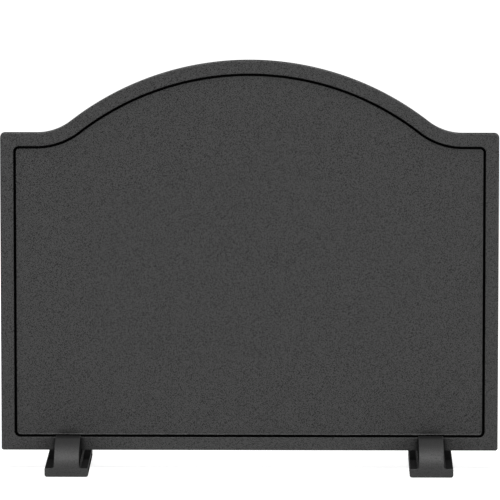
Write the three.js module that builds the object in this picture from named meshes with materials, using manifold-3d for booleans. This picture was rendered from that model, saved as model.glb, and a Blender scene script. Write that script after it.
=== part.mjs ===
// A free-standing cast-iron fireback. An arched plate with a raised border stands upright in two
// slotted cast feet, and one bolt from behind each foot clamps the plate in its slot.
// Millimetres, +Z up. The front of the plate faces -Y. The origin is on the floor, midway between
// the feet and at the middle of their length.

import * as THREE from "three";
import { mergeVertices } from "three/addons/utils/BufferGeometryUtils.js";
import Module from "manifold-3d";

// Outline of the plate
const PLATE_WIDTH = 600;
const PLATE_HEIGHT = 474; // from the bottom edge to the top of the crown
const CROWN_RISE = 88; // from the shoulders to the top of the crown
const CROWN_RADIUS = 350;
const SWEEP_RADIUS = 67; // concave sweep that joins the crown to each shoulder
const SHOULDER_CORNER_RADIUS = 5.5;
const LOWER_CORNER_RADIUS = 3;

// Relief of the plate
const BORDER_THICKNESS = 11;
const BORDER_WIDTH = 16;
const GROOVE_WIDTH = 3;
const GROOVE_DEPTH = 5.5; // below the face of the border
const GROOVE_CORNER_RADIUS = 7;
const FIELD_RECESS = 3; // how far the field lies below the face of the border
const COVE_RADIUS = 2.5; // hollow rise of the field towards the groove
const COVE_RISE = 1;
const PLATE_EDGE_RADIUS = 1.2;

// Feet
const FOOT_INSET = 81; // from the side of the plate to the middle of a foot
const FOOT_LENGTH = 142;
const SOLE_WIDTH = 52.5;
const SOLE_HEIGHT = 10.5;
const SOLE_LOWER_RADIUS = 3;
const SOLE_END_RADIUS = 1.5;
const RIB_WIDTH = 30;
const RIB_FILLET = 3;
const LUG_OVERLAP = 2; // how far the lugs reach past the border, over the groove
const SADDLE_HEIGHT = 11; // floor of the slot above the top of the sole
const SLOT_CLEARANCE = 0.4; // on each face of the plate
const SEAT_GAP = 0.3; // between faces that bear on each other

// Bolt that clamps the plate in each foot
const REAR_LUG_THICKNESS = 18; // iron between the slot and the seat of the washers
const BOLT_DIAMETER = 6;
const BOLT_HOLE_DIAMETER = 6.6;
const BOLT_HEAD_ACROSS_FLATS = 10;
const BOLT_HEAD_HEIGHT = 4;
const BOLT_TIP_CHAMFER = 0.8;
const THREAD_ENGAGEMENT = 11; // length of the bolt inside the front lug
const TAPPING_RUNOUT = 3; // depth of the blind hole beyond the tip of the bolt
const FLAT_WASHER_DIAMETER = 12;
const FLAT_WASHER_THICKNESS = 1.6;
const SPRING_WASHER_DIAMETER = 11.2;
const SPRING_WASHER_THICKNESS = 1.6;
const SPRING_WASHER_SPLIT = 1.2; // width of the split
const WASHER_CLEARANCE = 2; // between a washer and the side of its pocket

// Facets of the round shapes
const CROWN_STEPS = 48;
const SWEEP_STEPS = 12;
const CORNER_STEPS = 6;
const EDGE_STEPS = 3;
const COVE_STEPS = 4;
const RIB_STEPS = 28;
const ROUND_STEPS = 24;

// Sizes that follow from the ones above
const slotWidth = BORDER_THICKNESS + 2 * SLOT_CLEARANCE;
const slotFloor = SOLE_HEIGHT + SADDLE_HEIGHT;
const plateBottom = slotFloor + SEAT_GAP;
const ribTop = plateBottom + BORDER_WIDTH + LUG_OVERLAP;
const footX = PLATE_WIDTH / 2 - FOOT_INSET;
const boltHeight = plateBottom + BORDER_WIDTH / 2;
const lugSeat = slotWidth / 2 + REAR_LUG_THICKNESS;
const flatWasherSeat = lugSeat + SEAT_GAP;
const springWasherSeat = flatWasherSeat + FLAT_WASHER_THICKNESS + SEAT_GAP;
const boltHeadSeat = springWasherSeat + SPRING_WASHER_THICKNESS + SEAT_GAP;
const boltTip = -slotWidth / 2 - THREAD_ENGAGEMENT;
const pocketRadius = FLAT_WASHER_DIAMETER / 2 + WASHER_CLEARANCE;

const castIron = new THREE.MeshStandardMaterial({ color: 0x3e3e3f, roughness: 0.72, metalness: 0.3 });
const darkSteel = new THREE.MeshStandardMaterial({ color: 0x4a4b4d, roughness: 0.45, metalness: 0.85 });

const wasm = await Module();
wasm.setup();

// A closed geometry as a solid that can be joined and cut.
function solidOf(geometry) {
  const bare = new THREE.BufferGeometry();
  bare.setAttribute("position", geometry.getAttribute("position"));
  bare.setIndex(geometry.index);
  const merged = mergeVertices(bare, 1e-4);
  return new wasm.Manifold(
    new wasm.Mesh({
      numProp: 3,
      vertProperties: merged.getAttribute("position").array,
      triVerts: new Uint32Array(merged.index.array),
    }),
  );
}

function geometryOf(solid) {
  const { vertProperties, triVerts } = solid.getMesh();
  const geometry = new THREE.BufferGeometry();
  geometry.setAttribute("position", new THREE.BufferAttribute(vertProperties, 3));
  geometry.setIndex(new THREE.BufferAttribute(triVerts, 1));
  geometry.computeVertexNormals();
  return geometry;
}

// Points along an arc, both ends included. Angles are in degrees, anticlockwise from +X.
function arc(centreX, centreY, radius, from, to, steps) {
  const points = [];
  for (let i = 0; i <= steps; i++) {
    const angle = THREE.MathUtils.degToRad(from + ((to - from) * i) / steps);
    points.push(
      new THREE.Vector2(centreX + radius * Math.cos(angle), centreY + radius * Math.sin(angle)),
    );
  }
  return points;
}

// A cylinder along Y, from one end to the other.
function rod(diameter, from, to) {
  const geometry = new THREE.CylinderGeometry(diameter / 2, diameter / 2, to - from, ROUND_STEPS);
  return geometry.translate(0, (from + to) / 2, 0);
}

// Outline of the plate, drawn in by an inset, anticlockwise from the lower left corner as seen from
// the front. The crown and the sweeps keep their centres, so they stay tangent at every inset.
function plateOutline(inset) {
  const side = PLATE_WIDTH / 2 - inset;
  const bottom = plateBottom + inset;
  const shoulder = plateBottom + PLATE_HEIGHT - CROWN_RISE;
  const crownCentre = plateBottom + PLATE_HEIGHT - CROWN_RADIUS;
  const sweepCentre = shoulder + SWEEP_RADIUS;
  const reach = CROWN_RADIUS + SWEEP_RADIUS;
  const sweepX = Math.sqrt(reach ** 2 - (sweepCentre - crownCentre) ** 2);
  const turn = THREE.MathUtils.radToDeg(Math.asin(sweepX / reach));
  const lower = cornerRadius(inset, LOWER_CORNER_RADIUS);
  const upper = cornerRadius(inset, SHOULDER_CORNER_RADIUS);
  const top = shoulder - inset;
  const sweep = SWEEP_RADIUS + inset;
  return [
    ...arc(-side + lower, bottom + lower, lower, 180, 270, CORNER_STEPS),
    ...arc(side - lower, bottom + lower, lower, 270, 360, CORNER_STEPS),
    ...arc(side - upper, top - upper, upper, 0, 90, CORNER_STEPS),
    ...arc(sweepX, sweepCentre, sweep, 270, 270 - turn, SWEEP_STEPS),
    ...arc(0, crownCentre, CROWN_RADIUS - inset, 90 - turn, 90 + turn, CROWN_STEPS).slice(1, -1),
    ...arc(-sweepX, sweepCentre, sweep, 270 + turn, 270, SWEEP_STEPS),
    ...arc(-side + upper, top - upper, upper, 90, 180, CORNER_STEPS),
  ];
}

// The outer corners and the corners of the groove are rounded by their own radii.
function cornerRadius(inset, outerRadius) {
  const smallest = 1;
  const radius =
    inset < BORDER_WIDTH / 2 ? outerRadius - inset : GROOVE_CORNER_RADIUS + BORDER_WIDTH - inset;
  return Math.max(radius, smallest);
}

// Section through the rim of the plate, from its back round the outer edge to the field. X is the
// inset from the outer edge and Y the depth below the face of the border.
function rimSection() {
  const edge = PLATE_EDGE_RADIUS;
  const grooveEnd = BORDER_WIDTH + GROOVE_WIDTH;
  const coveTurn = THREE.MathUtils.radToDeg(Math.acos(1 - COVE_RISE / COVE_RADIUS));
  const coveX = grooveEnd + COVE_RADIUS * Math.sin(THREE.MathUtils.degToRad(coveTurn));
  return [
    ...arc(edge, BORDER_THICKNESS - edge, edge, 90, 180, EDGE_STEPS),
    ...arc(edge, edge, edge, 180, 270, EDGE_STEPS),
    ...arc(BORDER_WIDTH - edge, edge, edge, -90, 0, EDGE_STEPS),
    new THREE.Vector2(BORDER_WIDTH, GROOVE_DEPTH),
    new THREE.Vector2(grooveEnd, GROOVE_DEPTH),
    ...arc(coveX, FIELD_RECESS - COVE_RADIUS, COVE_RADIUS, 90 + coveTurn, 90, COVE_STEPS),
  ];
}

// The plate is a loft of its outline through the section of its rim, closed by the flat back and
// the flat field.
function plateGeometry() {
  const loops = rimSection().map(({ x: inset, y: depth }) =>
    plateOutline(inset).map((p) => new THREE.Vector3(p.x, depth - BORDER_THICKNESS / 2, p.y)),
  );
  const count = loops[0].length;
  const triangles = [];
  for (let ring = 1; ring < loops.length; ring++) {
    for (let i = 0; i < count; i++) {
      const here = (ring - 1) * count + i;
      const next = (ring - 1) * count + ((i + 1) % count);
      triangles.push(here, next, next + count);
      triangles.push(here, next + count, here + count);
    }
  }
  const flat = (loop) => loop.map((p) => new THREE.Vector2(p.x, p.z));
  const fieldStart = (loops.length - 1) * count;
  for (const [a, b, c] of THREE.ShapeUtils.triangulateShape(flat(loops.at(-1)), []))
    triangles.push(fieldStart + a, fieldStart + b, fieldStart + c);
  for (const [a, b, c] of THREE.ShapeUtils.triangulateShape(flat(loops[0]), []))
    triangles.push(a, c, b);
  const geometry = new THREE.BufferGeometry().setFromPoints(loops.flat());
  return geometry.setIndex(triangles);
}

// The plate with the two holes for the bolts through its lower border.
function buildPlate() {
  let plate = solidOf(plateGeometry());
  for (const side of [-1, 1]) {
    const hole = rod(BOLT_HOLE_DIAMETER, -BORDER_THICKNESS, BORDER_THICKNESS);
    plate = plate.subtract(solidOf(hole.translate(side * footX, 0, boltHeight)));
  }
  return geometryOf(plate);
}

// Section across a foot: a sole with rounded lower edges and a filleted rib on top of it.
function footSection() {
  const sole = SOLE_WIDTH / 2;
  const rib = RIB_WIDTH / 2;
  const lower = SOLE_LOWER_RADIUS;
  return new THREE.Shape([
    ...arc(-sole + lower, lower, lower, 180, 270, CORNER_STEPS),
    ...arc(sole - lower, lower, lower, 270, 360, CORNER_STEPS),
    new THREE.Vector2(sole, SOLE_HEIGHT),
    ...arc(rib + RIB_FILLET, SOLE_HEIGHT + RIB_FILLET, RIB_FILLET, 270, 180, CORNER_STEPS),
    new THREE.Vector2(rib, ribTop),
    new THREE.Vector2(-rib, ribTop),
    ...arc(-rib - RIB_FILLET, SOLE_HEIGHT + RIB_FILLET, RIB_FILLET, 0, -90, CORNER_STEPS),
    new THREE.Vector2(-sole, SOLE_HEIGHT),
  ]);
}

// Side view of a foot. From each end of the sole the rib rises in a quarter ellipse to the mouth of
// the slot.
function footProfile() {
  const end = FOOT_LENGTH / 2;
  const mouth = slotWidth / 2;
  const lower = SOLE_END_RADIUS;
  const profile = new THREE.Shape();
  profile.moveTo(-end + lower, 0);
  profile.lineTo(end - lower, 0);
  profile.absarc(end - lower, lower, lower, -Math.PI / 2, 0);
  profile.lineTo(end, SOLE_HEIGHT);
  profile.absellipse(mouth, SOLE_HEIGHT, end - mouth, ribTop - SOLE_HEIGHT, 0, Math.PI / 2);
  profile.lineTo(mouth, slotFloor);
  profile.lineTo(-mouth, slotFloor);
  profile.lineTo(-mouth, ribTop);
  profile.absellipse(-mouth, SOLE_HEIGHT, end - mouth, ribTop - SOLE_HEIGHT, Math.PI / 2, Math.PI);
  profile.lineTo(-end, lower);
  profile.absarc(-end + lower, lower, lower, Math.PI, (3 * Math.PI) / 2);
  return profile;
}

// Pocket in the rear of the rib, open to the top and the back, with a round floor about the bolt.
function boltPocket() {
  const pocket = new THREE.Shape([
    ...arc(0, boltHeight, pocketRadius, 180, 360, ROUND_STEPS / 2),
    new THREE.Vector2(pocketRadius, 2 * ribTop),
    new THREE.Vector2(-pocketRadius, 2 * ribTop),
  ]);
  const geometry = new THREE.ExtrudeGeometry(pocket, { depth: FOOT_LENGTH, bevelEnabled: false });
  return geometry.rotateX(Math.PI / 2).translate(0, lugSeat + FOOT_LENGTH, 0);
}

// A foot is the section drawn along its length, kept where the side view is solid, then cut for the
// bolt.
function buildFoot() {
  const length = new THREE.ExtrudeGeometry(footSection(), {
    depth: FOOT_LENGTH,
    bevelEnabled: false,
  });
  length.rotateX(Math.PI / 2).translate(0, FOOT_LENGTH / 2, 0);
  const side = new THREE.ExtrudeGeometry(footProfile(), {
    depth: 2 * SOLE_WIDTH,
    bevelEnabled: false,
    curveSegments: RIB_STEPS,
  });
  const along = new THREE.Vector3(0, 1, 0);
  const up = new THREE.Vector3(0, 0, 1);
  const across = new THREE.Vector3(1, 0, 0);
  side.applyMatrix4(new THREE.Matrix4().makeBasis(along, up, across));
  side.translate(-SOLE_WIDTH, 0, 0);
  const hole = rod(BOLT_HOLE_DIAMETER, boltTip - TAPPING_RUNOUT, boltHeadSeat);
  const foot = solidOf(length)
    .intersect(solidOf(side))
    .subtract(solidOf(boltPocket()))
    .subtract(solidOf(hole.translate(0, 0, boltHeight)));
  return geometryOf(foot);
}

// Hexagon-head bolt along Y. The head bears at Y = 0 and the shank points to -Y.
function buildBolt() {
  const radius = BOLT_DIAMETER / 2;
  const length = boltHeadSeat - boltTip;
  const cornerReach = BOLT_HEAD_ACROSS_FLATS / Math.sqrt(3);
  const flatReach = BOLT_HEAD_ACROSS_FLATS / 2;
  const chamfer = (cornerReach - flatReach) * Math.tan(Math.PI / 6);
  const hexagon = new THREE.CylinderGeometry(cornerReach, cornerReach, BOLT_HEAD_HEIGHT, 6);
  const turned = new THREE.LatheGeometry(
    [
      new THREE.Vector2(0, 0),
      new THREE.Vector2(cornerReach, 0),
      new THREE.Vector2(cornerReach, BOLT_HEAD_HEIGHT - chamfer),
      new THREE.Vector2(flatReach, BOLT_HEAD_HEIGHT),
      new THREE.Vector2(0, BOLT_HEAD_HEIGHT),
    ],
    ROUND_STEPS,
  );
  const shank = new THREE.LatheGeometry(
    [
      new THREE.Vector2(0, -length),
      new THREE.Vector2(radius - BOLT_TIP_CHAMFER, -length),
      new THREE.Vector2(radius, -length + BOLT_TIP_CHAMFER),
      new THREE.Vector2(radius, BOLT_HEAD_HEIGHT / 2),
      new THREE.Vector2(0, BOLT_HEAD_HEIGHT / 2),
    ],
    ROUND_STEPS,
  );
  const head = solidOf(hexagon.translate(0, BOLT_HEAD_HEIGHT / 2, 0)).intersect(solidOf(turned));
  return geometryOf(head.add(solidOf(shank)));
}

// Flat washer along Y, from Y = 0.
function buildFlatWasher() {
  const inner = BOLT_HOLE_DIAMETER / 2;
  const outer = FLAT_WASHER_DIAMETER / 2;
  return new THREE.LatheGeometry(
    [
      new THREE.Vector2(inner, 0),
      new THREE.Vector2(outer, 0),
      new THREE.Vector2(outer, FLAT_WASHER_THICKNESS),
      new THREE.Vector2(inner, FLAT_WASHER_THICKNESS),
      new THREE.Vector2(inner, 0),
    ],
    ROUND_STEPS,
  );
}

// Tightened spring washer along Y, from Y = 0: a flat ring split by a slanting cut at its top.
function buildSpringWasher() {
  const radii = [BOLT_HOLE_DIAMETER / 2, SPRING_WASHER_DIAMETER / 2];
  const middle = (radii[0] + radii[1]) / 2;
  const split = SPRING_WASHER_SPLIT / middle;
  const slant = SPRING_WASHER_THICKNESS / middle;
  const corners = [
    [radii[0], 0],
    [radii[0], 1],
    [radii[1], 1],
    [radii[1], 0],
  ];
  const points = [];
  for (let i = 0; i <= ROUND_STEPS; i++) {
    for (const [radius, level] of corners) {
      const start = Math.PI / 2 + split / 2 + slant * (level - 0.5);
      const angle = start + ((2 * Math.PI - split) * i) / ROUND_STEPS;
      const y = level * SPRING_WASHER_THICKNESS;
      points.push(new THREE.Vector3(radius * Math.cos(angle), y, radius * Math.sin(angle)));
    }
  }
  const last = 4 * ROUND_STEPS;
  const triangles = [0, 1, 2, 0, 2, 3, last, last + 2, last + 1, last, last + 3, last + 2];
  for (let i = 0; i < ROUND_STEPS; i++) {
    for (let corner = 0; corner < 4; corner++) {
      const here = 4 * i + corner;
      const next = 4 * i + ((corner + 1) % 4);
      triangles.push(here, here + 4, next + 4);
      triangles.push(here, next + 4, next);
    }
  }
  return new THREE.BufferGeometry().setFromPoints(points).setIndex(triangles);
}

function namedMesh(name, geometry, material) {
  const mesh = new THREE.Mesh(geometry, material);
  mesh.name = name;
  return mesh;
}

const fireback = new THREE.Group();
fireback.add(namedMesh("plate", buildPlate(), castIron));

for (const [side, sign] of [
  ["left", -1],
  ["right", 1],
]) {
  const support = new THREE.Group();
  support.position.x = sign * footX;
  support.add(namedMesh(`${side}_foot`, buildFoot(), castIron));
  const fastening = new THREE.Group();
  fastening.position.z = boltHeight;
  const flatWasher = namedMesh(`${side}_flat_washer`, buildFlatWasher(), darkSteel);
  flatWasher.position.y = flatWasherSeat;
  const springWasher = namedMesh(`${side}_spring_washer`, buildSpringWasher(), darkSteel);
  springWasher.position.y = springWasherSeat;
  const bolt = namedMesh(`${side}_bolt`, buildBolt(), darkSteel);
  bolt.position.y = boltHeadSeat;
  fastening.add(flatWasher, springWasher, bolt);
  support.add(fastening);
  fireback.add(support);
}

export default fireback;
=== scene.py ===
# %% [markdown]
# # A cast-iron fireback
#
# A fireback is a heavy iron plate that stands at the back of a fireplace. It shields the wall from
# the flames and throws their heat back into the room. This one has an arched top, a raised border
# with a groove inside it, and two slotted feet that are bolted on from behind.
#
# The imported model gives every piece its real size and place. This file gives the pieces their finer
# edges and their finish, and sets up the light and the camera. All lengths are in metres.

# %% Open the frame
import math

import bmesh
import bpy
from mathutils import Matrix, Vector


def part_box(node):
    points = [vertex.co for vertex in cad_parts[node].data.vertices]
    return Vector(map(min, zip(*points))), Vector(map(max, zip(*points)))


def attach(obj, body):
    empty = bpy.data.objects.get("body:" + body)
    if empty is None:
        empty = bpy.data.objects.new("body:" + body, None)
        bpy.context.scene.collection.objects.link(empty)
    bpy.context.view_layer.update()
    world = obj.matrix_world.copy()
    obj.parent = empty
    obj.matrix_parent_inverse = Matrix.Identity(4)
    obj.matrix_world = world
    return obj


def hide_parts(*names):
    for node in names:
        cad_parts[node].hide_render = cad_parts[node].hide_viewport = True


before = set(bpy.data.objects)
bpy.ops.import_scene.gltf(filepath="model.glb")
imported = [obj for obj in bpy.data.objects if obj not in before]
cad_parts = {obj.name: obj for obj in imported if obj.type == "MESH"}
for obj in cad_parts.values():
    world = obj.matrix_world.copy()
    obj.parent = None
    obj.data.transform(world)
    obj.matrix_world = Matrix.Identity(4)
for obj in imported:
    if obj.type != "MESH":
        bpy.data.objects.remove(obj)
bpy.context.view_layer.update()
print("pieces in the frame:", sorted(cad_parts))

# %% [markdown]
# ## The sizes that the looks share
#
# The places of the pieces are read from the frame, so nothing here has to be fitted by eye. Only the
# radii and widths that a box can't tell are written again, as real sizes in millimetres.

# %% Sizes from the frame
MM = 0.001

plate_low, plate_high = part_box("plate")
foot_low, foot_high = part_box("left_foot")

plate_width = plate_high.x - plate_low.x
plate_thickness = plate_high.y - plate_low.y
foot_x = -(foot_low.x + foot_high.x) / 2
foot_length = foot_high.y - foot_low.y
sole_width = foot_high.x - foot_low.x
rib_top = foot_high.z
bolt_height = (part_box("left_bolt")[0].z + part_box("left_bolt")[1].z) / 2
print(f"plate {plate_width:.3f} m wide and {plate_thickness:.4f} m thick, feet at x = {foot_x:.4f}")

# %% [markdown]
# ## Camera
#
# The photograph looks nearly square at the plate from a little above it: the tops of the feet show,
# and the sides of the plate stay parallel. A camera far away with a long lens gives that. It aims at
# the point of the plate that lies in the middle of the picture, and its lens is worked out from the
# distance and from how many pixels the width of the plate takes.

# %% Place the camera
PICTURE_WIDTH_PX = 500
PLATE_WIDTH_PX = 498.4
SENSOR_WIDTH_MM = 36
CAMERA_DISTANCE = 7.5
CAMERA_PITCH = math.radians(7.9)
CAMERA_YAW = math.radians(0.7)
AIM_POINT = Vector((0.0006, plate_low.y, 0.2664))
SIGHT_RANGE = 100


def place_camera():
    level = CAMERA_DISTANCE * math.cos(CAMERA_PITCH)
    offset = Vector(
        (
            level * math.sin(CAMERA_YAW),
            -level * math.cos(CAMERA_YAW),
            CAMERA_DISTANCE * math.sin(CAMERA_PITCH),
        )
    )
    data = bpy.data.cameras.new("camera")
    data.sensor_width = SENSOR_WIDTH_MM
    pixels_per_metre = PLATE_WIDTH_PX / plate_width
    data.lens = pixels_per_metre * CAMERA_DISTANCE * SENSOR_WIDTH_MM / PICTURE_WIDTH_PX
    data.clip_end = SIGHT_RANGE
    camera = bpy.data.objects.new("camera", data)
    camera.location = AIM_POINT + offset
    camera.rotation_euler = (-offset).to_track_quat("-Z", "Y").to_euler()
    bpy.context.scene.collection.objects.link(camera)
    bpy.context.scene.camera = camera
    return camera


camera = place_camera()
print(f"lens {camera.data.lens:.0f} mm at {CAMERA_DISTANCE} m")

# %% [markdown]
# ## Sums with shader sockets
#
# A shader is a graph of nodes, but its maths reads best as an expression. This small class wraps a
# socket and overloads the operators, so that `1 - mask * 0.5` adds the Math nodes itself. Every
# other node comes from one method, `node`, that takes the node's type, its settings and its inputs.


# %% A socket that Python can do sums with
class Value:
    def __init__(self, graph, socket):
        self.graph = graph
        self.socket = socket

    def math(self, operation, first, second):
        return self.graph.node("Math", {"operation": operation}, {0: first, 1: second})

    def __add__(self, other):
        return self.math("ADD", self, other)

    def __sub__(self, other):
        return self.math("SUBTRACT", self, other)

    def __rsub__(self, other):
        return self.math("SUBTRACT", other, self)

    def __mul__(self, other):
        return self.math("MULTIPLY", self, other)

    __radd__ = __add__
    __rmul__ = __mul__

    def larger(self, other):
        return self.math("MAXIMUM", self, other)


print("sockets can be added, subtracted, multiplied and compared")


# %% A graph of nodes
class Graph:
    def __init__(self, tree):
        self.tree = tree
        self.tree.nodes.clear()

    def node(self, kind, settings=None, inputs=None, output=0):
        made = self.tree.nodes.new("ShaderNode" + kind)
        for name, setting in (settings or {}).items():
            if name == "stops":
                self.set_stops(made.color_ramp, setting)
            else:
                setattr(made, name, setting)
        for name, value in (inputs or {}).items():
            if isinstance(value, Value):
                self.tree.links.new(value.socket, made.inputs[name])
            else:
                made.inputs[name].default_value = value
        return Value(self, made.outputs[output])

    def set_stops(self, ramp, stops):
        for position, level in stops:
            stop = ramp.elements.new(position)
            stop.color = grey(level)
        ramp.elements.remove(ramp.elements[0])
        ramp.elements.remove(ramp.elements[-1])


def grey(level):
    return (level, level, level, 1)


def new_material(name):
    material = bpy.data.materials.new(name)
    material.use_nodes = True
    return material, Graph(material.node_tree)


def finish_material(material, graph, surface):
    output = graph.tree.nodes.new("ShaderNodeOutputMaterial")
    graph.tree.links.new(surface.socket, output.inputs["Surface"])
    return material


print("a graph makes any node from its type, its settings and its inputs")

# %% Short names for the nodes that come back
def mix_colour(graph, factor, first, second):
    """Mix has sockets for several kinds of value: 6 and 7 are its colours, and output 2 is theirs."""
    return graph.node("Mix", {"data_type": "RGBA"}, {0: factor, 6: first, 7: second}, output=2)


def ramp(graph, value, *stops):
    """A grey level from a value, through stops that are (position, level)."""
    return graph.node("ValToRGB", {"stops": stops}, {0: value})


NOISE_TURN = (0.5, 0.7, 0.3)


def noise(graph, size, detail=2.0, roughness=0.5, stretch=(1, 1, 1)):
    """Noise about 0.5 in lumps as wide as the size.

    Noise is built on a grid of cubes and is fainter along their faces. The grid is turned, so that
    no flat face of the object lies along it.
    """
    place = graph.node("TexCoord", output="Object")
    scaled = graph.node("VectorMath", {"operation": "MULTIPLY"}, {0: place, 1: stretch})
    turned = graph.node("Mapping", inputs={"Vector": scaled, "Rotation": NOISE_TURN})
    inputs = {"Vector": turned, "Scale": 1 / size, "Detail": detail, "Roughness": roughness}
    return graph.node("TexNoise", inputs=inputs)


def any_ray(graph, *kinds):
    """1 for a ray that is any of the kinds that Light Path's outputs name."""
    rays = [graph.node("LightPath", output=kind) for kind in kinds]
    total = rays[0]
    for ray in rays[1:]:
        total = total.larger(ray)
    return total


print("shader helpers ready")

# %% [markdown]
# ## Floor and world
#
# The photograph has a pure white ground. The floor is pale paint lit by the same lamps as the
# object, and what a camera ray or a reflection sees of it is lifted to white by a weak glow that
# lights nothing else. The paint still adds to the glow, so the soft shadow under the feet stays.
# Far from the lamps the paint gets darker, so the glow grows with the distance from the object.

# %% Make the floor
FLOOR_RADIUS = 40.0
FLOOR_SIDES = 96
FLOOR_PAINT = 0.5
GLOW_NEAR = 0.75
GLOW_FAR = 0.9
GLOW_START = 0.5
GLOW_REACH = 5.0
SEEN_RAYS = ("Is Camera Ray", "Is Glossy Ray", "Is Transmission Ray")


def make_floor():
    material, graph = new_material("white_ground")
    paint = graph.node("BsdfDiffuse", inputs={"Color": grey(FLOOR_PAINT)})
    place = graph.node("TexCoord", output="Object")
    distance = graph.node("VectorMath", {"operation": "LENGTH"}, {0: place}, "Value")
    nearest = GLOW_START / GLOW_REACH
    level = ramp(graph, distance * (1 / GLOW_REACH), (nearest, GLOW_NEAR), (1, GLOW_FAR))
    glow = graph.node("Emission", inputs={"Color": level})
    lifted = graph.node("AddShader", inputs={0: paint, 1: glow})
    seen = any_ray(graph, *SEEN_RAYS)
    finish_material(material, graph, graph.node("MixShader", inputs={0: seen, 1: paint, 2: lifted}))
    mesh = bpy.data.meshes.new("floor")
    shape = bmesh.new()
    bmesh.ops.create_circle(shape, cap_ends=True, segments=FLOOR_SIDES, radius=FLOOR_RADIUS)
    shape.to_mesh(mesh)
    shape.free()
    floor = bpy.data.objects.new("floor", mesh)
    floor.data.materials.append(material)
    bpy.context.scene.collection.objects.link(floor)


make_floor()
print(f"floor {2 * FLOOR_RADIUS} m across")

# %% Make the world
AMBIENT = 0.25


def make_world():
    world = bpy.data.worlds.new("world")
    world.use_nodes = True
    graph = Graph(world.node_tree)
    strength = any_ray(graph, *SEEN_RAYS) * (1 - AMBIENT) + AMBIENT
    sky = graph.node("Background", inputs={"Color": grey(1), "Strength": strength})
    output = graph.tree.nodes.new("ShaderNodeOutputWorld")
    graph.tree.links.new(sky.socket, output.inputs["Surface"])
    bpy.context.scene.world = world


make_world()
bpy.context.scene.view_settings.view_transform = "Standard"
print(f"the world lights the object at {AMBIENT}")

# %% [markdown]
# ## Lamps
#
# The plate is nearly black, so most of what the eye sees on it is a soft reflection. Two large
# softboxes stand to the left and right of the camera and light every face that looks forward. A
# third hangs over the plate. Its reflection falls on the part of each foot that slopes halfway
# between upright and level, which makes the bright band across the rib.

# %% Hang the lamps
SIDE_WATTS = 40
SIDE_DISTANCE = 2.6
SIDE_FORWARD = 2.4
SIDE_HEIGHT = 0.7
SIDE_SIZE = (1.6, 1.2)
TOP_WATTS = 85
TOP_PLACE = (0.0, -0.3, 2.6)
TOP_SIZE = (2.4, 1.2)


def hang_softbox(name, place, size, watts):
    data = bpy.data.lights.new(name, "AREA")
    data.shape = "RECTANGLE"
    data.size, data.size_y = size
    data.energy = watts
    lamp = bpy.data.objects.new(name, data)
    lamp.location = place
    lamp.rotation_euler = (AIM_POINT - Vector(place)).to_track_quat("-Z", "Y").to_euler()
    bpy.context.scene.collection.objects.link(lamp)


for name, side in (("left_softbox", -1), ("right_softbox", 1)):
    place = (side * SIDE_DISTANCE, -SIDE_FORWARD, SIDE_HEIGHT)
    hang_softbox(name, place, SIDE_SIZE, SIDE_WATTS)
hang_softbox("top_softbox", TOP_PLACE, TOP_SIZE, TOP_WATTS)
print("softboxes:", SIDE_WATTS, SIDE_WATTS, TOP_WATTS, "watts")

# %% [markdown]
# ## Matt coat on sand-cast iron
#
# The plate and the feet are cast in sand and sprayed with a thin matt black stove coat. The sand
# leaves a fine pebbled skin, and the coat follows it. A photograph of such a skin could be wrapped
# round each piece, but noise that is worked out at every point has the right size everywhere and
# needs no unwrapping. So the skin is noise in real millimetres: fine pebbles for the bump, and a
# slow cloud that shifts the shade and the gloss a little. High edges get a slightly lighter colour,
# a painted highlight, and are a little smoother. The back of a casting is left rougher than its
# face, so the bump grows there.
#
# Painted shade, a dull black without gloss, is mixed in where deep shade falls: in the pits between
# the pebbles, on level faces, on the sides of the feet, and in hollow corners. Ambient Occlusion
# finds those corners: it measures how much of the space round a point is open. A Mix Shader then
# swaps the coat for the painted shade there, in place of shade that plain lamps don't give.

# %% Values of the coat
COAT_SHADE = 0.004
COAT_ROUGHNESS = 0.62
PEBBLE_SIZE = 1.1 * MM
CLOUD_SIZE = 60 * MM
PEBBLE_TINT = 0.5
CLOUD_TINT = 0.5
PEBBLE_POLISH = 0.1
CLOUD_DULLING = 0.08
EDGE_POLISH = 0.06
PAINTED_SHADE_LEVEL = 0.011
PAINTED_SHADE_GLOSS = 0.0
PAINTED_SHADE_ROUGHNESS = 0.8
CORNER_SHADE_REACH = 12 * MM
CORNER_SHADE_SAMPLES = 8

# The open share of the space at which a corner gets full painted shade, and the share from which it gets
# none.
PLATE_CORNER_SHADE = (0.5, 0.9)
FOOT_CORNER_SHADE = (0.74, 0.98)

# Each pair is the position on the ramp and the level there.
# High edges get a painted highlight: a lighter colour, and a little less roughness.
EDGE_HIGHLIGHT_RAMP = ((0.53, 0), (0.62, 1))
BACK_FACES = ((0.5, 0), (0.9, 1))
# Faces that look to the left or the right get painted shade.
SIDE_FACE_SHADE = ((0.7, 0), (0.95, 1))
# Level faces get painted shade, most where they face straight up.
LEVEL_FACE_SHADE = ((0.9, 0), (0.95, 0.2), (0.99, 0.2), (1, 0.6))
# Painted shade fills the pits between the pebbles, from the bottom of a pit up to its rim.
PIT_BOTTOM = 0.36
PIT_RIM = 0.54


def shade_of(graph, level, share):
    """A grey of the level, darker or lighter by a share that is about 1."""
    return mix_colour(graph, share * 0.5, grey(0), grey(2 * level))


def facing(graph, axis):
    """1 on faces that look along an axis, 0 on those that look across it, -1 on those against it."""
    normal = graph.node("NewGeometry", output="Normal")
    return graph.node("SeparateXYZ", inputs={0: normal}, output=axis)


def sideways(graph):
    """1 on faces that look to the left or the right."""
    across = facing(graph, "X")
    return ramp(graph, across * across, *SIDE_FACE_SHADE)


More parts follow.
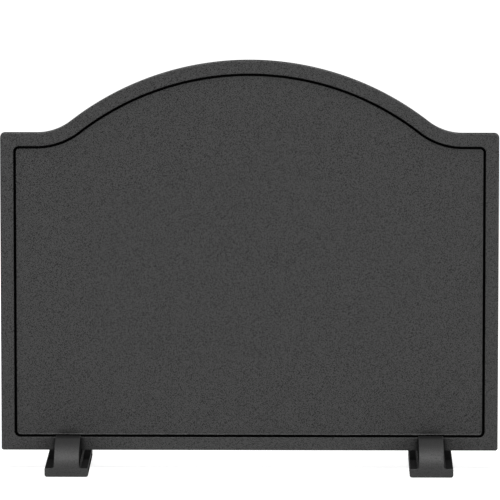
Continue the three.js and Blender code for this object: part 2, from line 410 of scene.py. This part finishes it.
# Painted shade in corners: a mask from Ambient Occlusion.
def corner_shade(graph, full, none, only_own):
    """1 where the full share of the space or less is open, and 0 from the none share on."""
    settings = {"samples": CORNER_SHADE_SAMPLES, "only_local": only_own}
    opening = graph.node("AmbientOcclusion", settings, {"Distance": CORNER_SHADE_REACH}, "AO")
    return ramp(graph, opening, (full, 1), (none, 0))


print(f"pebbles {PEBBLE_SIZE / MM:.1f} mm wide under a coat of shade {COAT_SHADE}")


# %% Mix the coat and the painted shade
# Painted shade: a dull black without gloss that stands in for shade.
def make_painted_shade(graph, shade, shade_grain, normal):
    inputs = {
        "Base Color": shade_of(graph, shade, shade_grain * 2),
        "Roughness": PAINTED_SHADE_ROUGHNESS + shade_grain * (1 - PAINTED_SHADE_ROUGHNESS),
        "Normal": normal,
        "Specular IOR Level": PAINTED_SHADE_GLOSS,
    }
    return graph.node("BsdfPrincipled", inputs=inputs)


def make_coat(name, gloss, face_depth, back_depth, pit_shade, painted_shade_of):
    """The depths are those of the bump. The last argument makes the mask of the places that get painted
    shade.
    """
    material, graph = new_material(name)
    pebbles = noise(graph, PEBBLE_SIZE, detail=1.0)
    cloud = noise(graph, CLOUD_SIZE)
    edges = ramp(graph, graph.node("NewGeometry", output="Pointiness"), *EDGE_HIGHLIGHT_RAMP)
    # The edges term makes high edges lighter: a painted highlight.
    share = 1 + (pebbles - 0.5) * PEBBLE_TINT + (cloud - 0.5) * CLOUD_TINT + edges
    polish = (pebbles - 0.5) * PEBBLE_POLISH + edges * EDGE_POLISH
    roughness = COAT_ROUGHNESS + (cloud - 0.5) * CLOUD_DULLING - polish
    behind = ramp(graph, facing(graph, "Y"), *BACK_FACES)
    height = pebbles * (1 + behind * (back_depth / face_depth - 1))
    bump = graph.node("Bump", inputs={"Height": height, "Distance": face_depth})
    inputs = {
        "Base Color": shade_of(graph, COAT_SHADE, share),
        "Roughness": roughness,
        "Normal": bump,
        "Specular IOR Level": gloss,
    }
    coat = graph.node("BsdfPrincipled", inputs=inputs)
    # Painted shade fills the pits, the level faces and the places from the last argument, and the Mix
    # Shader swaps the coat for it there.
    pits = ramp(graph, pebbles, (PIT_BOTTOM, pit_shade), (PIT_RIM, 0))
    level = ramp(graph, facing(graph, "Z"), *LEVEL_FACE_SHADE)
    painted_shade_share = pits.larger(level).larger(painted_shade_of(graph))
    painted_shade = make_painted_shade(graph, PAINTED_SHADE_LEVEL, pebbles, bump)
    surface = graph.node("MixShader", inputs={0: painted_shade_share, 1: coat, 2: painted_shade})
    return finish_material(material, graph, surface)


def plate_painted_shade(graph):
    """The plate gets painted shade in its corners, such as where the feet stand against it."""
    return corner_shade(graph, *PLATE_CORNER_SHADE, only_own=False)


def foot_painted_shade(graph):
    """A foot gets painted shade in its own hollows and on its sides."""
    return corner_shade(graph, *FOOT_CORNER_SHADE, only_own=True).larger(sideways(graph))


plate_coat = make_coat(
    "plate_coat",
    gloss=0.62,
    face_depth=0.5 * MM,
    back_depth=0.9 * MM,
    pit_shade=0.7,
    painted_shade_of=plate_painted_shade,
)
foot_coat = make_coat(
    "foot_coat",
    gloss=0.52,
    face_depth=0.2 * MM,
    back_depth=0.4 * MM,
    pit_shade=0.35,
    painted_shade_of=foot_painted_shade,
)
print("coats:", plate_coat.name, foot_coat.name)

# %% [markdown]
# ## The dark of the groove
#
# The narrow groove gets painted shade: a glossless near-black that stands in for the deep shade
# inside it. It is darker than the painted shade in the corners, over a coarser bump.


# %% Line the groove with painted shade
GROOVE_SHADE = 0.003
GROOVE_GRAIN = 1.5 * MM
GROOVE_GRAIN_DEPTH = 0.3 * MM


def make_groove_painted_shade():
    material, graph = new_material("groove_painted_shade")
    shade_grain = noise(graph, GROOVE_GRAIN, detail=3.0, roughness=0.7)
    bump = graph.node("Bump", inputs={"Height": shade_grain, "Distance": GROOVE_GRAIN_DEPTH})
    return finish_material(material, graph, make_painted_shade(graph, GROOVE_SHADE, shade_grain, bump))


groove_painted_shade = make_groove_painted_shade()
print("soot:", groove_painted_shade.name)

# %% [markdown]
# ## Blackened steel
#
# The bolts and washers are steel with a thin black zinc plating. It is a metal, so its colour is the
# colour of its reflection. Plating is never even: it is duller in patches and rubbed bright along
# the edges, where the spanner touched it. Fine scratches run along the bolt, the way it was pushed
# through its hole.

# %% Mix the plating
PLATING_SHADE = 0.16
PLATING_ROUGHNESS = 0.3
RUBBED_SHADE = 0.42
RUBBED_POLISH = 0.1
PLATING_EDGES = ((0.52, 0), (0.6, 1))
PATCH_SIZE = 4 * MM
PATCH_TINT = 0.8
PATCH_WEAR = 0.6
PATCH_DULLING = 0.25
SCRATCH_SIZE = 0.8 * MM
SCRATCH_STRETCH = (1, 0.15, 1)
SCRATCH_DEPTH = 0.03 * MM


def make_plating():
    material, graph = new_material("black_plating")
    patches = noise(graph, PATCH_SIZE, detail=3.0)
    scratches = noise(graph, SCRATCH_SIZE, stretch=SCRATCH_STRETCH)
    edges = ramp(graph, graph.node("NewGeometry", output="Pointiness"), *PLATING_EDGES)
    rubbed = edges * (1 - PATCH_WEAR + patches * PATCH_WEAR)
    plating = shade_of(graph, PLATING_SHADE, 1 - PATCH_TINT / 2 + patches * PATCH_TINT)
    inputs = {
        "Base Color": mix_colour(graph, rubbed, plating, grey(RUBBED_SHADE)),
        "Metallic": 1.0,
        "Roughness": PLATING_ROUGHNESS + patches * PATCH_DULLING - rubbed * RUBBED_POLISH,
        "Normal": graph.node("Bump", inputs={"Height": scratches, "Distance": SCRATCH_DEPTH}),
    }
    return finish_material(material, graph, graph.node("BsdfPrincipled", inputs=inputs))


black_plating = make_plating()
print("plating:", black_plating.name)

# %% [markdown]
# ## Helpers for meshes
#
# Every piece here is a skin drawn over a row of closed outlines, called rings. All the rings of a
# piece have the same number of points, so the skin is a grid of quads: that is easier to control
# than a block cut by many booleans, and its rounded edges shade smoothly. The skin is capped at both
# ends, and only that of a flat washer runs back into its first ring. Booleans are kept for the
# drilled holes and for the pocket behind each foot.


# %% Arcs and skins
WELD_DISTANCE = 0.002 * MM


def arc(centre, radius, start, stop, steps):
    """Points along an arc, both ends included, in degrees anticlockwise from the first axis."""
    turns = [math.radians(start + (stop - start) * i / steps) for i in range(steps + 1)]
    return [(centre[0] + radius * math.cos(t), centre[1] + radius * math.sin(t)) for t in turns]


def skin(rings, index_of=None):
    """A closed mesh over rings of points. index_of gives the material of the band before a ring."""
    shape = bmesh.new()
    loops = [[shape.verts.new(point) for point in ring] for ring in rings]
    for band, (near, far) in enumerate(zip(loops, loops[1:])):
        for here in range(len(near)):
            after = (here + 1) % len(near)
            face = shape.faces.new((near[here], near[after], far[after], far[here]))
            face.material_index = index_of(band) if index_of else 0
    shape.faces.new(loops[0])
    shape.faces.new(loops[-1])
    bmesh.ops.remove_doubles(shape, verts=shape.verts, dist=WELD_DISTANCE)
    bmesh.ops.recalc_face_normals(shape, faces=shape.faces)
    return shape


print("a quarter turn in 3 steps:", len(arc((0, 0), 1, 0, 90, 3)), "points")


# %% Pieces and cuts
SHARP_ANGLE = math.radians(35)
SOFTENED_ANGLE = math.radians(50)
ROUND_STEPS = 64


def new_piece(name, shape, *materials):
    mesh = bpy.data.meshes.new(name)
    shape.to_mesh(mesh)
    shape.free()
    piece = bpy.data.objects.new(name, mesh)
    bpy.context.scene.collection.objects.link(piece)
    for material in materials:
        mesh.materials.append(material)
    return piece


def cut(piece, *cutters):
    """Take the cutters out of the piece, and throw them away."""
    for cutter in cutters:
        difference = piece.modifiers.new("cut", "BOOLEAN")
        difference.operation = "DIFFERENCE"
        difference.solver = "EXACT"
        difference.object = cutter
    graph = bpy.context.evaluated_depsgraph_get()
    result = bpy.data.meshes.new_from_object(piece.evaluated_get(graph))
    piece.modifiers.clear()
    piece.data = result
    for cutter in cutters:
        bpy.data.objects.remove(cutter)


def dress(piece, slot, *nodes, soften=None):
    """Smooth the shading, round sharp edges if asked, and let the piece stand for the frame's nodes."""
    for polygon in piece.data.polygons:
        polygon.use_smooth = True
    if soften:
        bevel = piece.modifiers.new("soft_edges", "BEVEL")
        bevel.width = soften
        bevel.segments = 2
        bevel.limit_method = "ANGLE"
        bevel.angle_limit = SOFTENED_ANGLE
    else:
        piece.data.set_sharp_from_angle(angle=SHARP_ANGLE)
    weights = piece.modifiers.new("even_normals", "WEIGHTED_NORMAL")
    weights.keep_sharp = True
    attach(piece, "root")
    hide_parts(*nodes)
    print(f"{piece.name}: {len(piece.data.polygons)} faces")


def drill(centre, radius, start, stop):
    """A cutter: a rod along Y."""
    circle = arc(centre, radius, 0, 360, ROUND_STEPS)[:-1]
    return new_piece("drill", skin([[(x, y, z) for x, z in circle] for y in (start, stop)]))


print(f"edges of more than {math.degrees(SHARP_ANGLE):.0f} degrees stay sharp")

# %% [markdown]
# ## Plate
#
# The plate is one casting, 11 mm thick. Its outline has square lower corners, small shoulders, and
# two hollow sweeps that run into one wide crown. Every stretch is an arc, so a few radii describe it
# all, and drawing the outline in by an inset only changes those radii. The relief of the rim is a
# second, small outline: over the rounded outer edge, across the flat border, down into the groove,
# and up through a little hollow lip to the field. Skinning the first along the second gives the
# whole plate.

# %% Sizes of the plate
CROWN_RISE = 88 * MM
CROWN_RADIUS = 350 * MM
SWEEP_RADIUS = 67 * MM
SHOULDER_CORNER_RADIUS = 5.5 * MM
LOWER_CORNER_RADIUS = 3 * MM
BORDER_WIDTH = 16 * MM
GROOVE_WIDTH = 3 * MM
GROOVE_DEPTH = 5.5 * MM
GROOVE_CORNER_RADIUS = 7 * MM
LEAST_CORNER_RADIUS = 1 * MM
FIELD_RECESS = 3 * MM
COVE_RADIUS = 2.5 * MM
COVE_RISE = 1 * MM
PLATE_EDGE_RADIUS = 1.2 * MM
CROWN_STEPS = 120
SWEEP_STEPS = 32
CORNER_STEPS = 10
EDGE_STEPS = 5
COVE_STEPS = 6


def corner_radius(inset, outer):
    if inset < BORDER_WIDTH / 2:
        return max(outer - inset, LEAST_CORNER_RADIUS)
    return max(GROOVE_CORNER_RADIUS + BORDER_WIDTH - inset, LEAST_CORNER_RADIUS)


def plate_outline(inset):
    side = plate_width / 2 - inset
    bottom = plate_low.z + inset
    shoulder = plate_high.z - CROWN_RISE
    crown_centre = plate_high.z - CROWN_RADIUS
    sweep_centre = shoulder + SWEEP_RADIUS
    reach = CROWN_RADIUS + SWEEP_RADIUS
    sweep_x = math.sqrt(reach**2 - (sweep_centre - crown_centre) ** 2)
    turn = math.degrees(math.asin(sweep_x / reach))
    lower = corner_radius(inset, LOWER_CORNER_RADIUS)
    upper = corner_radius(inset, SHOULDER_CORNER_RADIUS)
    top = shoulder - inset
    sweep = SWEEP_RADIUS + inset
    return [
        *arc((-side + lower, bottom + lower), lower, 180, 270, CORNER_STEPS),
        *arc((side - lower, bottom + lower), lower, 270, 360, CORNER_STEPS),
        *arc((side - upper, top - upper), upper, 0, 90, CORNER_STEPS),
        *arc((sweep_x, sweep_centre), sweep, 270, 270 - turn, SWEEP_STEPS),
        *arc((0, crown_centre), CROWN_RADIUS - inset, 90 - turn, 90 + turn, CROWN_STEPS)[1:-1],
        *arc((-sweep_x, sweep_centre), sweep, 270 + turn, 270, SWEEP_STEPS),
        *arc((-side + upper, top - upper), upper, 90, 180, CORNER_STEPS),
    ]


print("points round the plate:", len(plate_outline(0)))


# %% Relief of the rim
def rim_section():
    """Inset from the outer edge and depth below the border, from the back round to the field."""
    edge = PLATE_EDGE_RADIUS
    groove_end = BORDER_WIDTH + GROOVE_WIDTH
    turn = math.degrees(math.acos(1 - COVE_RISE / COVE_RADIUS))
    cove_x = groove_end + COVE_RADIUS * math.sin(math.radians(turn))
    return [
        *arc((edge, plate_thickness - edge), edge, 90, 180, EDGE_STEPS),
        *arc((edge, edge), edge, 180, 270, EDGE_STEPS),
        *arc((BORDER_WIDTH - edge, edge), edge, -90, 0, EDGE_STEPS),
        (BORDER_WIDTH, GROOVE_DEPTH),
        (groove_end, GROOVE_DEPTH),
        *arc((cove_x, FIELD_RECESS - COVE_RADIUS), COVE_RADIUS, 90 + turn, 90, COVE_STEPS),
    ]


relief = rim_section()
print("points across the rim:", len(relief))

# %% Cast the plate
HOLE_RADIUS = 3.3 * MM
groove_floor = relief.index((BORDER_WIDTH, GROOVE_DEPTH))


def rim_material(band):
    """The three bands that line the groove get the painted shade."""
    return 1 if groove_floor - 1 <= band <= groove_floor + 1 else 0


def cast_plate():
    rings = []
    for inset, depth in relief:
        rings.append([(x, plate_low.y + depth, z) for x, z in plate_outline(inset)])
    plate = new_piece("plate_casting", skin(rings, rim_material), plate_coat, groove_painted_shade)
    holes = [
        drill((side * foot_x, bolt_height), HOLE_RADIUS, 2 * plate_low.y, 2 * plate_high.y)
        for side in (-1, 1)
    ]
    cut(plate, *holes)
    dress(plate, "plate_iron", "plate")


cast_plate()

# %% [markdown]
# ## Feet
#
# Each foot is a small casting: a flat sole with a rib along its middle. The rib rises in a quarter
# ellipse to the slot that holds the plate, and meets the sole in a hollow fillet. The edges of a
# casting are never sharp, so the skin carries its own rounding: each ring is a section across the
# foot, and near the ends the rings draw in. The rings crowd together where the ellipse turns down.

# %% Sizes of a foot
SOLE_HEIGHT = 10.5 * MM
SOLE_LOWER_RADIUS = 3 * MM
SOLE_END_RADIUS = 1.5 * MM
RIB_HALF_WIDTH = 15 * MM
RIB_FILLET = 3 * MM
SLOT_CLEARANCE = 0.4 * MM
SEAT_GAP = 0.3 * MM
FOOT_EDGE_RADIUS = 0.9 * MM
WALL_LEAN = 0.02 * MM
LEAST_RIB_HEIGHT = 0.02 * MM
RIB_STEPS = 48
FILLET_STEPS = 8
SOLE_STEPS = 6
FOOT_EDGE_STEPS = 4

foot_end = foot_length / 2
mouth = plate_thickness / 2 + SLOT_CLEARANCE
slot_floor = plate_low.z - SEAT_GAP


def edge_drop(distance, radius):
    """How far a rounded edge lies below the flat, at a distance from the end."""
    if distance >= radius:
        return 0.0
    return radius - math.sqrt(radius**2 - (radius - distance) ** 2)


def crest_at(reach):
    """Height of the rib's crest at a distance from the middle of the foot."""
    base = SOLE_HEIGHT - FOOT_EDGE_RADIUS + LEAST_RIB_HEIGHT
    share = (reach - mouth) / (foot_end - mouth)
    rise = (rib_top - base) * math.sqrt(max(1 - share**2, 0))
    return base + rise - edge_drop(reach - mouth, FOOT_EDGE_RADIUS)


rib_height = crest_at(mouth + 30 * MM) - SOLE_HEIGHT
print(f"30 mm from the slot the rib rises {rib_height / MM:.1f} mm above the sole")


# %% Section across a foot
def foot_section(reach, crest):
    """Right half of a section, from under the sole to the crest of the rib."""
    end_distance = foot_end - reach
    drop = edge_drop(end_distance, FOOT_EDGE_RADIUS)
    bottom = edge_drop(end_distance, SOLE_END_RADIUS)
    side = sole_width / 2 - drop
    top = SOLE_HEIGHT - drop
    lower = SOLE_LOWER_RADIUS
    edge = FOOT_EDGE_RADIUS
    round_over = min(FOOT_EDGE_RADIUS, crest - top)
    fillet_top = min(crest - round_over, top + RIB_FILLET)
    turn = math.degrees(math.acos(min(1 - (fillet_top - top) / RIB_FILLET, 1)))
    fillet_centre = (RIB_HALF_WIDTH + RIB_FILLET, top + RIB_FILLET)
    fillet = arc(fillet_centre, RIB_FILLET, 270, 270 - turn, FILLET_STEPS)
    rib_edge = (fillet[-1][0] - round_over, crest - round_over)
    return [
        (0, bottom),
        *arc((side - lower, bottom + lower), lower, 270, 360, SOLE_STEPS),
        *arc((side - edge, top - edge), edge, 0, 90, FOOT_EDGE_STEPS),
        *fillet,
        *arc(rib_edge, round_over, 0, 90, FOOT_EDGE_STEPS),
        (0, crest),
    ]


print("points across half a foot:", len(foot_section(mouth, crest_at(mouth))))


# %% Rings along a foot
def foot_stations():
    """Places along half a foot as (reach, crest), from the end to the floor of the slot."""
    edge_turns = [math.radians(90 * i / FOOT_EDGE_STEPS) for i in range(FOOT_EDGE_STEPS)]
    rib_turns = [math.radians(90 * i / RIB_STEPS) for i in range(1, RIB_STEPS + 1)]
    lip = [FOOT_EDGE_RADIUS * (1 - math.cos(turn)) for turn in edge_turns]
    curve = [(foot_end - mouth) * math.sin(turn) for turn in rib_turns]
    reaches = [mouth + step for step in lip + curve]
    stations = [(reach, crest_at(reach)) for reach in reversed(reaches)]
    return stations + [(mouth - WALL_LEAN, slot_floor)]


def foot_ring(x, y, half):
    """A closed ring at a place along the foot, from its right half and the mirror image."""
    return [(x + a, y, b) for a, b in half] + [(x - a, y, b) for a, b in reversed(half[1:-1])]


def foot_rings(x):
    halves = [(reach, foot_section(reach, crest)) for reach, crest in foot_stations()]
    front = [foot_ring(x, -reach, half) for reach, half in halves]
    back = [foot_ring(x, reach, half) for reach, half in reversed(halves)]
    return front + back


print("rings along a foot:", len(foot_rings(0)))

# %% [markdown]
# ### The pocket for the bolt
#
# Behind the plate the rib is cut away for the bolt: a pocket that is open to the top and the back,
# with a round floor and a flat seat for the washers. The bolt passes through the rear lug and the
# plate into a blind threaded hole in the front lug, so nothing of it shows from the hearth.

# %% Cast the feet
POCKET_RADIUS = 8 * MM
HOLE_RUNOUT = 3 * MM
POCKET_EDGE = 0.5 * MM

bolt_low, bolt_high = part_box("left_bolt")
lug_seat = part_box("left_flat_washer")[0].y - SEAT_GAP


def pocket_cutter(x):
    outline = arc((x, bolt_height), POCKET_RADIUS, 180, 360, ROUND_STEPS // 2)
    outline += [(x + POCKET_RADIUS, 2 * rib_top), (x - POCKET_RADIUS, 2 * rib_top)]
    rings = [[(a, y, b) for a, b in outline] for y in (lug_seat, 2 * foot_end)]
    return new_piece("pocket", skin(rings))


def cast_foot(name, x):
    foot = new_piece(f"{name}_casting", skin(foot_rings(x)), foot_coat)
    hole = drill((x, bolt_height), HOLE_RADIUS, bolt_low.y - HOLE_RUNOUT, bolt_high.y)
    cut(foot, pocket_cutter(x), hole)
    dress(foot, "foot_iron", name, soften=POCKET_EDGE)


cast_foot("left_foot", -foot_x)
cast_foot("right_foot", foot_x)

# %% [markdown]
# ## Bolts and washers
#
# A hexagon bolt clamps the plate in each foot, over a split spring washer and a flat washer. The top
# of a real bolt head is turned to a shallow cone, which leaves an arc on each of its six sides. The
# height of the cone at each point of the hexagon gives that arc. The last stretch of the shank has a
# real thread: its radius rises and falls along the bolt, and a little later at each step round it.

# %% Sizes of the bolt
BOLT_RADIUS = 3 * MM
HEAD_HALF_FLATS = 5 * MM
HEAD_HEIGHT = 4 * MM
HEAD_CONE = math.tan(math.radians(30))
TIP_CHAMFER = 0.8 * MM
THREAD_LENGTH = 18 * MM
THREAD_PITCH = 1 * MM
THREAD_DEPTH = 0.55 * MM
THREAD_STEPS = 6
BOLT_STEPS = 72


def round_ring(centre, y_at, radius_at):
    """A ring about a line along Y. y_at and radius_at are numbers, or give one at each angle.

    The steps are a multiple of six, so that each corner of the hexagon gets a point.
    """
    ring = []
    for i in range(BOLT_STEPS):
        angle = math.tau * i / BOLT_STEPS
        radius = radius_at(angle) if callable(radius_at) else radius_at
        y = y_at(angle) if callable(y_at) else y_at
        ring.append((centre[0] + radius * math.sin(angle), y, centre[1] + radius * math.cos(angle)))
    return ring


def hexagon(angle):
    """Distance from the middle of the head to its side. A corner points up."""
    sixth = math.tau / 6
    return HEAD_HALF_FLATS / math.cos((angle % sixth) - sixth / 2)


def cone_drop(angle):
    """How far the turned cone lies below the top of the head, at its side."""
    return (hexagon(angle) - HEAD_HALF_FLATS) * HEAD_CONE


print(f"head {2 * HEAD_HALF_FLATS / MM:.0f} mm across flats, {2 * hexagon(0) / MM:.2f} mm across corners")


# %% Turn the bolts
def thread_radius(depth):
    """Radius of the thread at a depth from its start, for each angle."""

    def radius_at(angle):
        phase = (depth / THREAD_PITCH + angle / math.tau) % 1
        return BOLT_RADIUS - THREAD_DEPTH * abs(2 * phase - 1) * min(depth / THREAD_PITCH, 1)

    return radius_at


def turn_bolt(name, x):
    centre = (x, bolt_height)
    tip, top = bolt_low.y, bolt_high.y
    seat = top - HEAD_HEIGHT
    rings = [round_ring(centre, tip, BOLT_RADIUS - TIP_CHAMFER)]
    thread_start = tip + THREAD_LENGTH
    steps = round((THREAD_LENGTH - TIP_CHAMFER) / THREAD_PITCH * THREAD_STEPS)
    for i in range(steps, -1, -1):
        depth = i * THREAD_PITCH / THREAD_STEPS
        rings.append(round_ring(centre, thread_start - depth, thread_radius(depth)))
    rings.append(round_ring(centre, seat, BOLT_RADIUS))
    rings.append(round_ring(centre, seat, hexagon))
    rings.append(round_ring(centre, lambda angle: top - cone_drop(angle), hexagon))
    rings.append(round_ring(centre, top, HEAD_HALF_FLATS))
    bolt = new_piece(f"{name}_steel", skin(rings), black_plating)
    dress(bolt, "fastener_steel", name)


turn_bolt("left_bolt", -foot_x)
turn_bolt("right_bolt", foot_x)


# %% Punch the flat washers
WASHER_EDGE = 0.25 * MM
WASHER_EDGE_STEPS = 3


def washer_section(name, inner, outer):
    """Distance from the bolt and place along it, round the rounded section of a washer."""
    start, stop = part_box(name)[0].y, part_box(name)[1].y
    edge, steps = WASHER_EDGE, WASHER_EDGE_STEPS
    return [
        *arc((inner + edge, start + edge), edge, 180, 270, steps),
        *arc((outer - edge, start + edge), edge, 270, 360, steps),
        *arc((outer - edge, stop - edge), edge, 0, 90, steps),
        *arc((inner + edge, stop - edge), edge, 90, 180, steps),
    ]


def punch_washer(name, x):
    outer = (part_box(name)[1].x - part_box(name)[0].x) / 2
    section = washer_section(name, HOLE_RADIUS, outer)
    shape = bmesh.new()
    rings = [round_ring((x, bolt_height), y, radius) for radius, y in section]
    loops = [[shape.verts.new(point) for point in ring] for ring in rings]
    for near, far in zip(loops, loops[1:] + loops[:1]):
        for here in range(len(near)):
            after = (here + 1) % len(near)
            shape.faces.new((near[here], near[after], far[after], far[here]))
    bmesh.ops.recalc_face_normals(shape, faces=shape.faces)
    dress(new_piece(f"{name}_steel", shape, black_plating), "fastener_steel", name)


punch_washer("left_flat_washer", -foot_x)
punch_washer("right_flat_washer", foot_x)

# %% Coil the spring washers
SPRING_SPLIT = 1.2 * MM
SPRING_OUTER = 5.6 * MM


def coil_washer(name, x):
    """A flattened coil: its section goes once round, and the slanting cut is at its top."""
    section = washer_section(name, HOLE_RADIUS, SPRING_OUTER)
    start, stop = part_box(name)[0].y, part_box(name)[1].y
    middle = (HOLE_RADIUS + SPRING_OUTER) / 2
    split = SPRING_SPLIT / middle
    rings = []
    for i in range(ROUND_STEPS + 1):
        ring = []
        for radius, y in section:
            slant = (y - (start + stop) / 2) / middle
            angle = math.pi / 2 + split / 2 + slant + (math.tau - split) * i / ROUND_STEPS
            ring.append((x + radius * math.cos(angle), y, bolt_height + radius * math.sin(angle)))
        rings.append(ring)
    dress(new_piece(f"{name}_steel", skin(rings), black_plating), "fastener_steel", name)


coil_washer("left_spring_washer", -foot_x)
coil_washer("right_spring_washer", foot_x)
